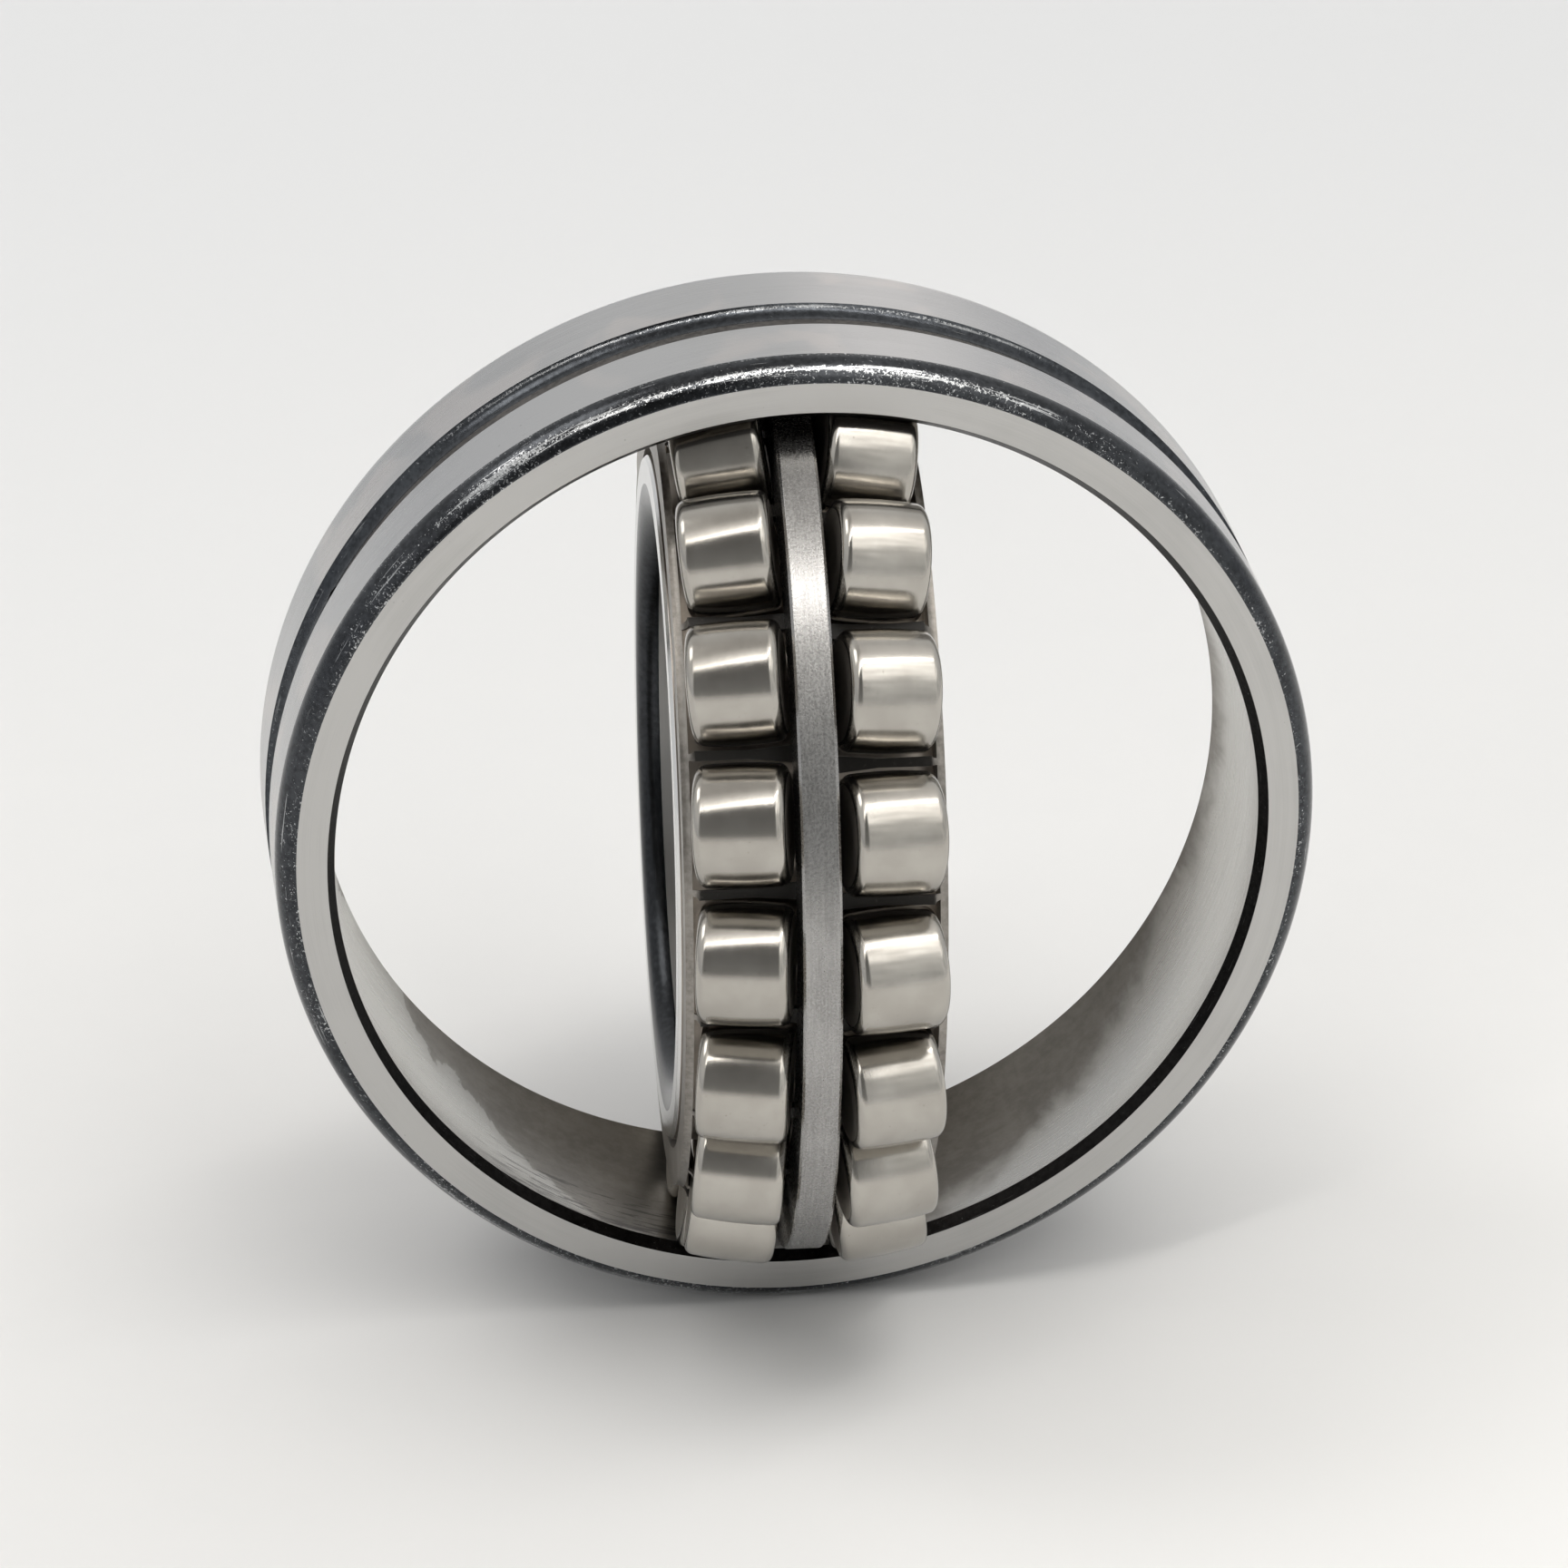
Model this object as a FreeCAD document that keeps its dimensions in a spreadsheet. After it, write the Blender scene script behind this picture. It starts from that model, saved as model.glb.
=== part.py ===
"""Spherical roller bearing, double row, self-aligning: 90 mm bore, 160 mm outside, 40 mm wide.

Frame: millimetres, +Z up. The origin is the centre of the outer ring's spherical raceway, and the
outer ring's axis lies along Y, so the ring stands on its rim. The inner ring, its two rows of
barrel rollers, their two pressed cages and the guide ring are drawn round their own Y axis and then
turned about Z by swivel_angle, which stands them almost square to the outer ring.
"""
import FreeCAD, Part
import math
import os

from FreeCAD import Placement, Rotation, Vector
import Sketcher

Y_AXIS, Z_AXIS = Vector(0, 1, 0), Vector(0, 0, 1)
FULL_TURN = 360.0
HALF_TURN = 180.0

DIMENSIONS = {
    # boundary sizes
    "outer_diameter": 160.0,
    "bore_diameter": 90.0,
    "ring_width": 40.0,
    "swivel_angle": 86.7,
    # outer ring
    "raceway_radius": 73.3,
    "outer_edge_radial": 3.0,
    "outer_edge_axial": 4.4,
    "mouth_radius": 72.3,
    "mouth_depth": 2.0,
    "groove_width": 8.3,
    "groove_floor": 2.4,
    "groove_depth": 1.5,
    "oil_hole_diameter": 4.0,
    "oil_hole_count": 3,
    "first_oil_hole_angle": 31.36,
    # rollers
    "roller_count": 19,
    "roller_diameter": 18.4,
    "roller_length": 13.6,
    "roller_corner": 1.5,
    "contact_angle": 9.6,
    "race_clearance": 0.12,
    "left_row_phase": 22.5,
    "right_row_phase": 20.7,
    # inner ring
    "bore_edge_radial": 3.5,
    "bore_edge_axial": 3.5,
    "race_edge": 0.5,
    "centre_land": 3.0,
    # guide ring
    "guide_diameter": 141.0,
    "guide_width": 5.8,
    "guide_bore_width": 6.2,
    "guide_edge": 0.4,
    "guide_clearance": 0.08,
    # cages
    "cage_sheet": 1.2,
    "cage_lip_radius": 61.05,
    "cage_lip_start": 0.45,
    "cage_lip_end": 3.4,
    "cage_crown_radius": 61.9,
    "cage_crown_end": 17.35,
    "cage_flange_face": 19.35,
    "cage_flange_bore": 54.2,
    "cage_bend": 2.0,
    "window_start": 2.95,
    "window_shoulder": 9.5,
    "window_narrow_half": 8.75,
    "window_wide_half": 9.45,
}

document = FreeCAD.newDocument("SphericalRollerBearing")
sheet = document.addObject("Spreadsheet::Sheet", "Dims")
for row, (alias, value) in enumerate(DIMENSIONS.items(), start=1):
    sheet.set(f"A{row}", alias)
    sheet.set(f"B{row}", str(value))
    sheet.setAlias(f"B{row}", alias)
document.recompute()


def dim(alias):
    """The number that a named cell holds."""
    return float(sheet.get(alias))


def formula(text):
    """An expression with each cell name written in full, such as Dims.bore_diameter."""
    for alias in sorted(DIMENSIONS, key=len, reverse=True):
        text = text.replace("#" + alias, "Dims." + alias)
    return text


def origin_feature(body, role):
    """One of a body's own origin planes or axes, by its role."""
    return next(item for item in body.Origin.OriginFeatures if item.Role == role)


def new_body(label):
    """An empty body whose label names its file."""
    body = document.addObject("PartDesign::Body", label)
    body.Label = label
    return body


def new_sketch(body, name, plane_role):
    """A sketch on one of its body's own origin planes."""
    sketch = body.newObject("Sketcher::SketchObject", name)
    sketch.AttachmentSupport = (origin_feature(body, plane_role), [""])
    sketch.MapMode = "FlatFace"
    document.recompute()
    return sketch


def arc_between(start, end, radius, side):
    """The shorter arc from start to end, its centre on the left (side 1) or right (side -1)."""
    chord = end - start
    height = math.sqrt(max(radius**2 - (chord.Length / 2) ** 2, 0.0))
    across = Vector(-chord.y, chord.x, 0).normalize() * height * side
    centre = (start + end) / 2 + across
    first, last = (start, end) if side > 0 else (end, start)
    angles = [math.atan2(p.y - centre.y, p.x - centre.x) for p in (first, last)]
    return Part.ArcOfCircle(Part.Circle(centre, Z_AXIS, radius), *angles)


def bind(sketch, kind, references, text):
    """Add a constraint whose value follows an expression."""
    value = float(sketch.evalExpression(text))
    number = sketch.addConstraint(Sketcher.Constraint(kind, *references, value))
    sketch.setExpression(f"Constraints[{number}]", text)


def closed_outline(sketch, corners):
    """Draw a closed outline. A corner is (x, y) or (x, y, radius, side), all but side expressions.

    The longer form leads to the next corner along an arc, which closed_outline bends about a centre
    on the left (side 1) or right (side -1) of the way from corner to corner.
    """
    texts = [[formula(part) for part in corner[:3]] for corner in corners]
    points = [
        Vector(float(sketch.evalExpression(x)), float(sketch.evalExpression(y)), 0)
        for x, y, *_ in texts
    ]
    ends = []
    for number, corner in enumerate(corners):
        start, end = points[number], points[(number + 1) % len(points)]
        if len(corner) == 2:
            edge = sketch.addGeometry(Part.LineSegment(start, end), False)
            ends.append((edge, 1, 2))
            continue
        radius, side = texts[number][2], corner[3]
        arc = arc_between(start, end, float(sketch.evalExpression(radius)), side)
        edge = sketch.addGeometry(arc, False)
        ends.append((edge, 1, 2) if side > 0 else (edge, 2, 1))
    for number, (edge, start_point, end_point) in enumerate(ends):
        after, after_start, _ = ends[(number + 1) % len(ends)]
        sketch.addConstraint(
            Sketcher.Constraint("Coincident", edge, end_point, after, after_start)
        )
    for number, (edge, start_point, _) in enumerate(ends):
        x_text, y_text = texts[number][:2]
        for kind, text, axis in (("DistanceX", x_text, -2), ("DistanceY", y_text, -1)):
            if text == "0":
                sketch.addConstraint(
                    Sketcher.Constraint("PointOnObject", edge, start_point, axis)
                )
            else:
                bind(sketch, kind, (-1, 1, edge, start_point), text)
        if len(corners[number]) > 2:
            bind(sketch, "Radius", (edge,), texts[number][2])
    document.recompute()


def revolve(body, corners):
    """Turn a closed outline (x outward, y along the axis) into a solid round the body's Y axis."""
    sketch = new_sketch(body, body.Label + "_section", "XY_Plane")
    closed_outline(sketch, corners)
    solid = body.newObject("PartDesign::Revolution", body.Label + "_turned")
    solid.Profile = sketch
    solid.ReferenceAxis = (sketch, ["V_Axis"])
    solid.Angle = FULL_TURN
    document.recompute()
    return solid


def cut_round(body, sketch, count_alias):
    """Cut a sketch outward through the wall on the +X side and repeat the cut round the Y axis."""
    before = body.Shape.Volume
    pocket = body.newObject("PartDesign::Pocket", sketch.Name + "_cut")
    pocket.Profile = sketch
    pocket.Type = "Length"
    pocket.setExpression("Length", "Dims.outer_diameter")
    pocket.Reversed = True
    document.recompute()
    if body.Shape.Volume >= before:
        raise RuntimeError(f"{pocket.Name} cuts nothing")
    one_cut = before - body.Shape.Volume
    pattern = body.newObject("PartDesign::PolarPattern", sketch.Name + "_round")
    pattern.Originals = [pocket]
    pattern.Axis = (origin_feature(body, "Y_Axis"), [""])
    pattern.Angle = FULL_TURN
    pattern.setExpression("Occurrences", "Dims." + count_alias)
    body.Tip = pattern
    document.recompute()
    expected = before - dim(count_alias) * one_cut
    if abs(body.Shape.Volume - expected) > 0.01 * (before - expected):
        raise RuntimeError(f"{pattern.Name} repeats {pocket.Name} wrongly")


def mirrored(corners):
    """The same corners on the other side of the middle plane, in the order that continues them."""
    flipped = []
    for number in range(len(corners) - 1, -1, -1):
        x, y = corners[number][:2]
        corner = [x, f"-({y})"]
        arc = corners[number - 1][2:] if number else ()
        flipped.append(tuple(corner) + tuple(arc))
    return flipped


# ---- the inner set's geometry, as expressions ----

TILT = "(#contact_angle * 1 deg)"
# centre of a roller to the raceway's centre, the roller's own barrel, and the inner raceway's arc
PROFILE_RADIUS = "(#raceway_radius - #race_clearance)"
CENTRE_DISTANCE = f"({PROFILE_RADIUS} - #roller_diameter / 2)"
INNER_RACE_RADIUS = "#raceway_radius"


def inner_race(height):
    """The inner raceway's radius at an axial distance from the middle plane."""
    arc_height = f"2 * {CENTRE_DISTANCE} * sin({TILT}) - {height}"
    return (
        f"2 * {CENTRE_DISTANCE} * cos({TILT})"
        f" - sqrt({INNER_RACE_RADIUS} ^ 2 - ({arc_height}) ^ 2)"
    )


# ---- placements ----

INNER_SET = Placement(Vector(), Rotation(Z_AXIS, dim("swivel_angle")))
ROW_TURN = {
    "left": Placement(),
    "right": Placement(Vector(), Rotation(Z_AXIS, HALF_TURN)),
}


def spun(angle):
    """A turn about the Y axis that lifts +X towards +Z."""
    return Placement(Vector(), Rotation(Y_AXIS, -angle))


def roller_angle(row, number):
    """Where a roller stands round its row, in degrees above the horizontal on the -Y side."""
    pitch = FULL_TURN / dim("roller_count")
    steps = number * pitch
    if row == "left":
        return HALF_TURN - dim("left_row_phase") + steps
    return dim("right_row_phase") - steps


# ---- sub-parts ----


def build_outer_ring():
    """Outer ring: one spherical raceway for both rows, an oil groove and radial oil holes."""
    body = new_body("outer_ring")
    half = "#ring_width / 2"
    outside = "#outer_diameter / 2"
    raceway_edge = f"sqrt(#raceway_radius ^ 2 - ({half} - #mouth_depth) ^ 2)"
    edge_arc = "(#outer_edge_radial ^ 2 + #outer_edge_axial ^ 2) / (2 * #outer_edge_radial)"
    groove_side = "(#groove_width - #groove_floor) / 2"
    groove_arc = f"(#groove_depth ^ 2 + ({groove_side}) ^ 2) / (2 * #groove_depth)"
    upper = [
        (f"{outside} - #groove_depth", "#groove_floor / 2", groove_arc, 1),
        (outside, "#groove_width / 2"),
        (outside, f"{half} - #outer_edge_axial", edge_arc, 1),
        (f"{outside} - #outer_edge_radial", half),
        ("#mouth_radius", half),
        (raceway_edge, f"{half} - #mouth_depth", "#raceway_radius", -1),
    ]
    lower = mirrored(upper)
    lower[0] = lower[0][:2]
    revolve(body, upper + lower)
    holes = new_sketch(body, "oil_hole", "YZ_Plane")
    circle = holes.addGeometry(Part.Circle(Vector(), Z_AXIS, dim("oil_hole_diameter") / 2))
    holes.addConstraint(Sketcher.Constraint("Coincident", circle, 3, -1, 1))
    bind(holes, "Diameter", (circle,), "Dims.oil_hole_diameter")
    cut_round(body, holes, "oil_hole_count")
    body.Placement = spun(dim("first_oil_hole_angle"))
    return body


def build_inner_ring():
    """Inner ring without ribs: cylindrical bore and two concave raceways that run out to its faces."""
    body = new_body("inner_ring")
    half = "#ring_width / 2"
    bore = "#bore_diameter / 2"
    edge_arc = "(#bore_edge_radial ^ 2 + #bore_edge_axial ^ 2) / (2 * #bore_edge_radial)"
    race_end = f"{half} - #race_edge"
    upper = [
        (inner_race("#centre_land / 2"), "#centre_land / 2", INNER_RACE_RADIUS, -1),
        (inner_race(race_end), race_end),
        (f"{inner_race(race_end)} - #race_edge", half),
        (f"{bore} + #bore_edge_radial", half, edge_arc, 1),
        (bore, f"{half} - #bore_edge_axial"),
    ]
    revolve(body, upper + mirrored(upper))
    body.Placement = INNER_SET
    return body


def build_guide_ring():
    """Guide ring: loose between the rows, running on the cages' lips, a little wider at its bore,
    where the rollers' end faces run closest."""
    body = new_body("guide_ring")
    bore = "#cage_lip_radius + #guide_clearance"
    outside = "#guide_diameter / 2"
    lean = f"(#guide_width - #guide_bore_width) / 2 / ({outside} - {bore})"
    upper = [
        (outside, "#guide_width / 2 - #guide_edge"),
        (f"{outside} - #guide_edge", f"#guide_width / 2 - #guide_edge * {lean}"),
        (bore, "#guide_bore_width / 2"),
    ]
    revolve(body, upper + mirrored(upper))
    body.Placement = INNER_SET
    return body


def build_cage(row):
    """Window cage pressed from sheet: a lip under the guide ring, bars between the rollers and a
    flange turned in over the rollers' outer ends. Each window reaches to the flange's inner face."""
    body = new_body("cage_" + row)
    inner_bend = "#cage_bend - #cage_sheet"
    rise = "(#cage_crown_radius - #cage_lip_radius) / (#cage_crown_end - #cage_lip_end)"
    under = f"#cage_sheet * sqrt(1 + ({rise}) ^ 2)"
    flange_inside = "#cage_flange_face - #cage_sheet"
    section = [
        ("#cage_lip_radius", "#cage_lip_start"),
        ("#cage_lip_radius - #cage_sheet", "#cage_lip_start"),
        ("#cage_lip_radius - #cage_sheet", "#cage_lip_end"),
        (f"#cage_crown_radius - {under}", "#cage_crown_end", inner_bend, -1),
        (f"#cage_crown_radius - {under} - ({inner_bend})", flange_inside),
        ("#cage_flange_bore", flange_inside),
        ("#cage_flange_bore", "#cage_flange_face"),
        ("#cage_crown_radius - #cage_bend", "#cage_flange_face", "#cage_bend", 1),
        ("#cage_crown_radius", "#cage_crown_end"),
        ("#cage_lip_radius", "#cage_lip_end"),
    ]
    revolve(body, section)
    window = new_sketch(body, "window_" + row, "YZ_Plane")
    outline = [
        ("#window_start", "-#window_narrow_half"),
        ("#window_shoulder", "-#window_wide_half"),
        (flange_inside, "-#window_wide_half"),
        (flange_inside, "#window_wide_half"),
        ("#window_shoulder", "#window_wide_half"),
        ("#window_start", "#window_narrow_half"),
    ]
    closed_outline(window, outline)
    cut_round(body, window, "roller_count")
    body.Placement = INNER_SET * ROW_TURN[row] * spun(roller_angle(row, 0))
    return body


def build_roller(row, number):
    """Barrel roller: symmetrical, its profile the raceway's own arc, with rounded end corners."""
    body = new_body(f"roller_{row}_{number + 1:02d}")
    half = "#roller_length / 2"
    shoulder = f"({half} - #roller_corner)"
    barrel = (
        f"#roller_diameter / 2 - {PROFILE_RADIUS}"
        f" + sqrt({PROFILE_RADIUS} ^ 2 - {shoulder} ^ 2)"
    )
    upper = [
        (barrel, shoulder, "#roller_corner", 1),
        (f"{barrel} - #roller_corner", half),
        ("0", half),
    ]
    lower = mirrored(upper)
    lower[-1] = lower[-1][:2] + (PROFILE_RADIUS, 1)
    revolve(body, upper + lower)
    out_along_contact = Placement(Vector(0, 0, 0), Rotation(Z_AXIS, dim("contact_angle")))
    centre_distance = float(sheet.evalExpression(formula(CENTRE_DISTANCE)))
    body.Placement = (
        INNER_SET
        * ROW_TURN[row]
        * spun(roller_angle(row, number))
        * out_along_contact
        * Placement(Vector(centre_distance, 0, 0), Rotation())
    )
    return body


def check_document():
    """Stop if any object failed to recompute."""
    failed = [item.Name for item in document.Objects if {"Invalid", "Error"} & set(item.State)]
    if failed:
        raise RuntimeError(f"failed objects: {failed}")


def export(body):
    """Write one sub-part to its own STEP file, after testing its shape."""
    shape = body.Shape
    if shape.isNull() or not shape.isValid() or len(shape.Solids) != 1:
        raise RuntimeError(f"{body.Label} has no single valid solid")
    shape.exportStep(f"parts/{body.Label}.step")
    print(f"{body.Label}: {shape.Volume:.0f} mm3")


sub_parts = [build_outer_ring(), build_inner_ring(), build_guide_ring()]
for row_name in ("left", "right"):
    sub_parts.append(build_cage(row_name))
    for roller_number in range(int(dim("roller_count"))):
        sub_parts.append(build_roller(row_name, roller_number))

document.recompute()
check_document()
os.makedirs("parts", exist_ok=True)
for sub_part in sub_parts:
    export(sub_part)
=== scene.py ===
"""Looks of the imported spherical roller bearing: turned pieces, finishes, floor, light and camera.

Lengths are in millimetres and colours are linear (r, g, b), unless a comment says otherwise. A
section is a list of runs, each a zone's name and its points, and a point is a radius and a height
along the piece's own Y axis.
"""

import math

import bpy
import numpy as np
from mathutils import Matrix, Vector


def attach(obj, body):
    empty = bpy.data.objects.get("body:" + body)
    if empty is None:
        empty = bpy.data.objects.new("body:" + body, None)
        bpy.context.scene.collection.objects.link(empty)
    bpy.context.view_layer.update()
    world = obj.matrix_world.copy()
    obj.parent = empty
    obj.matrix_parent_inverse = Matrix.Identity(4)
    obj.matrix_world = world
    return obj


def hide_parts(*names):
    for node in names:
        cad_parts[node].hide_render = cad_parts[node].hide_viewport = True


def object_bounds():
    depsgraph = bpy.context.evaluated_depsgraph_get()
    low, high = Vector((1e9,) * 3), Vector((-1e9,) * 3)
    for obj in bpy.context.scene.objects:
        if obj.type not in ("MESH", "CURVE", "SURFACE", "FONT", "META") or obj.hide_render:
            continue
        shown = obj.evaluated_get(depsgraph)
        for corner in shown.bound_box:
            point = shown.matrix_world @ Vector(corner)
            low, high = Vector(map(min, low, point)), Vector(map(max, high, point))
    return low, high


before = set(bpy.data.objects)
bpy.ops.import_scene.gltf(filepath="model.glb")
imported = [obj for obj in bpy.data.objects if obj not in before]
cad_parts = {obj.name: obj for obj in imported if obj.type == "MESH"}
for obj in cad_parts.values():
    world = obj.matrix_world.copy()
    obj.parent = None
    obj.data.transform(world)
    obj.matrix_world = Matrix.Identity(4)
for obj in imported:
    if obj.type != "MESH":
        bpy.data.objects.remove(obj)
cad_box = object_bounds()
scene = bpy.context.scene

MM = 0.001
FULL_TURN = 2 * math.pi

# the bearing's measures, as in the CAD
OUTER_RADIUS, BORE_RADIUS, HALF_WIDTH = 80.0, 45.0, 20.0
SWIVEL = math.radians(86.7)
RACE_RADIUS = 73.3
RACE_CLEARANCE = 0.12
CONTACT_ANGLE = math.radians(9.6)
ROLLERS, ROLLER_RADIUS, ROLLER_HALF, ROLLER_CORNER = 19, 9.2, 6.8, 1.5
ROW_PHASE = {"left": 22.5, "right": 20.7}
BARREL_RADIUS = RACE_RADIUS - RACE_CLEARANCE
ROLLER_DISTANCE = BARREL_RADIUS - ROLLER_RADIUS
HOLE_RADIUS, HOLE_ANGLES = 2.0, (31.36, 151.36, 271.36)


# ---- sections ----

# a corner sharper than this is rounded off, by a curve of this size and number of points, which
# takes no more than this share of the straight on either side
SHARP_CORNER = math.radians(25)
ARRIS, ARRIS_POINTS, ARRIS_SHARE = 0.16, 5, 0.45
# stretches that meet at less than this share one normal
SMOOTH_BEND = math.radians(30)
# the side of an arc's centre, seen along the arc
LEFT, RIGHT = 1, -1


def wrapped(angle):
    """The same angle between minus half a turn and half a turn."""
    return (angle + math.pi) % FULL_TURN - math.pi


def curve(start, end, radius, side, steps):
    """Points along the shorter arc from start to end, its centre LEFT or RIGHT of the way."""
    start, end = np.array(start, float), np.array(end, float)
    chord = end - start
    length = np.hypot(*chord)
    height = math.sqrt(max(radius**2 - (length / 2) ** 2, 0.0))
    centre = (start + end) / 2 + np.array([-chord[1], chord[0]]) / length * height * side
    first = math.atan2(*(start - centre)[::-1])
    last = math.atan2(*(end - centre)[::-1])
    angles = first + wrapped(last - first) * np.linspace(0, 1, steps + 1)
    return [tuple(centre + radius * np.array([math.cos(t), math.sin(t)])) for t in angles]


def tangent_radius(depth, run):
    """Radius of an arc that starts along a line and is depth away from it after run."""
    return (depth**2 + run**2) / (2 * depth)


def straight(start, end, steps=1):
    """Evenly spaced points from start to end."""
    return [tuple(p) for p in np.linspace(start, end, steps + 1)]


def mirrored(runs):
    """The same runs on the other side of height 0, in the order that carries the section on."""
    return [(zone, [(r, -a) for r, a in reversed(points)]) for zone, points in reversed(runs)]


def joined(runs, closed):
    """One row of points from all runs, sharp corners rounded off, and the zone of each stretch."""
    points, zones = [], []
    for zone, run in runs:
        points += run[:-1]
        zones += [zone] * (len(run) - 1)
    if not closed:
        points.append(runs[-1][1][-1])
        zones.append(None)
    points = np.array(points)
    count = len(points)
    soft, soft_zones = [], []
    for i, (here, zone) in enumerate(zip(points, zones)):
        into, out = here - points[i - 1], points[(i + 1) % count] - here
        before, after = np.hypot(*into), np.hypot(*out)
        into, out = into / before, out / after
        turn = math.acos(max(-1.0, min(1.0, float(into @ out))))
        at_end = not closed and i in (0, count - 1)
        if at_end or turn < SHARP_CORNER:
            soft.append(here)
            soft_zones.append(zone)
            continue
        cut = min(ARRIS * math.tan(turn / 2), ARRIS_SHARE * before, ARRIS_SHARE * after)
        first, last = here - into * cut, here + out * cut
        for t in np.linspace(0, 1, ARRIS_POINTS):
            soft.append((1 - t) ** 2 * first + 2 * t * (1 - t) * here + t**2 * last)
            soft_zones.append(zone if t >= 0.5 else zones[i - 1])
    return np.array(soft), soft_zones if closed else soft_zones[:-1]


def section_normals(points, closed):
    """Each stretch's normals at its start and end, averaged where the section bends gently."""
    after = np.roll(points, -1, axis=0)
    area = np.sum(points[:, 0] * after[:, 1] - after[:, 0] * points[:, 1])
    step = after - points
    if not closed:
        step = step[:-1]
    length = np.hypot(step[:, 0], step[:, 1])
    sign = 1.0 if area > 0 or not closed else -1.0
    flat = np.stack([step[:, 1], -step[:, 0]], 1) / length[:, None] * sign
    first, last = flat.copy(), flat.copy()
    count = len(flat)
    for i in range(count if closed else count - 1):
        j = (i + 1) % count
        if flat[i] @ flat[j] > math.cos(SMOOTH_BEND):
            mean = flat[i] * length[i] + flat[j] * length[j]
            mean /= np.hypot(*mean)
            last[i], first[j] = mean, mean
    return first, last


# ---- shader graphs ----

# the Mix node's sockets for colours
MIX_FACTOR, MIX_A, MIX_B, MIX_RESULT = 0, 6, 7, 2


class Graph:
    """Short ways to add nodes to a tree. A value is a number, a colour or a node's socket."""

    def __init__(self, tree):
        self.tree = tree

    def feed(self, socket, value):
        if isinstance(value, bpy.types.NodeSocket):
            self.tree.links.new(value, socket)
        elif isinstance(value, tuple) and len(value) < len(socket.default_value):
            socket.default_value = value + (1.0,)
        else:
            socket.default_value = value

    def add(self, kind, inputs=None, out=0, **settings):
        node = self.tree.nodes.new("ShaderNode" + kind)
        for key, value in settings.items():
            setattr(node, key, value)
        for key, value in (inputs or {}).items():
            self.feed(node.inputs[key], value)
        return node.outputs[out]

    def math(self, operation, *values):
        return self.add("Math", dict(enumerate(values)), operation=operation)

    def times(self, first, *others):
        for other in others:
            first = self.math("MULTIPLY", first, other)
        return first

    def plus(self, first, *others):
        for other in others:
            first = self.math("ADD", first, other)
        return first

    def minus(self, value, other):
        return self.math("SUBTRACT", value, other)

    def weighed(self, *pairs):
        """The sum of values, each times its weight."""
        return self.plus(*(self.times(value, weight) for value, weight in pairs))

    def away(self, value, middle):
        """How far a value is from the middle, either way."""
        return self.math("ABSOLUTE", self.minus(value, middle))

    def mix(self, factor, a, b):
        inputs = {MIX_FACTOR: factor, MIX_A: a, MIX_B: b}
        return self.add("Mix", inputs, out=MIX_RESULT, data_type="RGBA")

    def span(self, value, low, high, to_low=0.0, to_high=1.0, smooth=True):
        """Takes low to to_low and high to to_high, and holds the value beyond them."""
        kind = "SMOOTHSTEP" if smooth else "LINEAR"
        inputs = dict(enumerate((value, low, high, to_low, to_high)))
        return self.add("MapRange", inputs, interpolation_type=kind)

    def between(self, value, rise, fall):
        """1 from the end of the rise to the end of the fall, each (from, to), and 0 outside."""
        return self.times(self.span(value, *rise), self.span(value, *fall))

    def noise(self, vector, scale, detail, roughness=0.55, distortion=0.0):
        inputs = {"Vector": vector, "Scale": scale, "Detail": detail, "Roughness": roughness,
                  "Distortion": distortion}
        return self.add("TexNoise", inputs)

    def drawn_out(self, x, y, z, along, across, *texture):
        """Noise with one scale along x and z and another along y.

        The texture is the noise's detail, then its roughness and distortion if they are given.
        """
        stretched = self.vector(self.times(x, along), self.times(y, across), self.times(z, along))
        return self.noise(stretched, 1.0, *texture)

    def vector(self, x, y, z):
        return self.add("CombineXYZ", {0: x, 1: y, 2: z})

    def parts(self, vector):
        node = self.tree.nodes.new("ShaderNodeSeparateXYZ")
        self.feed(node.inputs[0], vector)
        return node.outputs

    def place(self):
        """The point on the piece, in its own coordinates in millimetres."""
        where = self.add("TexCoord", out="Object")
        return self.add("VectorMath", {0: where, "Scale": 1 / MM}, operation="SCALE")

    def bump(self, height, strength, distance):
        """A normal from the height; the distance is in metres."""
        return self.add("Bump", {"Strength": strength, "Distance": distance, "Height": height})


class Finish(Graph):
    """The graph of a new material with one Principled shader."""

    def __init__(self, name):
        self.material = bpy.data.materials.new(name)
        self.material.use_nodes = True
        super().__init__(self.material.node_tree)

    def surface(self, inputs):
        """Feeds the shader and gives the finished material."""
        shader = self.tree.nodes["Principled BSDF"]
        for socket, value in inputs.items():
            self.feed(shader.inputs[socket], value)
        return self.material


# ---- finishes ----

BLACK = (0.0, 0.0, 0.0)
WARM_SMEAR = (0.60, 0.565, 0.545)
# bare steel of real wear, and of the lane along the lamp's streak, which is partly a painted
# highlight
RUBBED_BARE_AND_HIGHLIGHT = (0.62, 0.63, 0.64)
HONED_BARE = (0.54, 0.53, 0.505)
DRIED_OIL = (0.09, 0.082, 0.080)
IRON_DARK, IRON_LIGHT, IRON_PALE = (0.27, 0.265, 0.26), (0.37, 0.365, 0.358), (0.43, 0.425, 0.42)
IRON_PORE, IRON_CRYSTAL = (0.07, 0.07, 0.07), (0.75, 0.75, 0.75)
ROLLER_DARK, ROLLER_LIGHT = (0.405, 0.385, 0.352), (0.465, 0.445, 0.41)
ROLLER_SPECK = (0.24, 0.22, 0.19)
SHEET_DARK, SHEET_LIGHT, SHEET_PALE = (0.20, 0.186, 0.168), (0.33, 0.31, 0.285), (0.42, 0.40, 0.37)
# the near black painted on the cage's bars between the rollers, standing in for the shade there
PAINTED_GAP_SHADE = (0.011, 0.0095, 0.008)
PAPER_DARK, PAPER_LIGHT = (0.755, 0.758, 0.76), (0.775, 0.775, 0.775)
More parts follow.
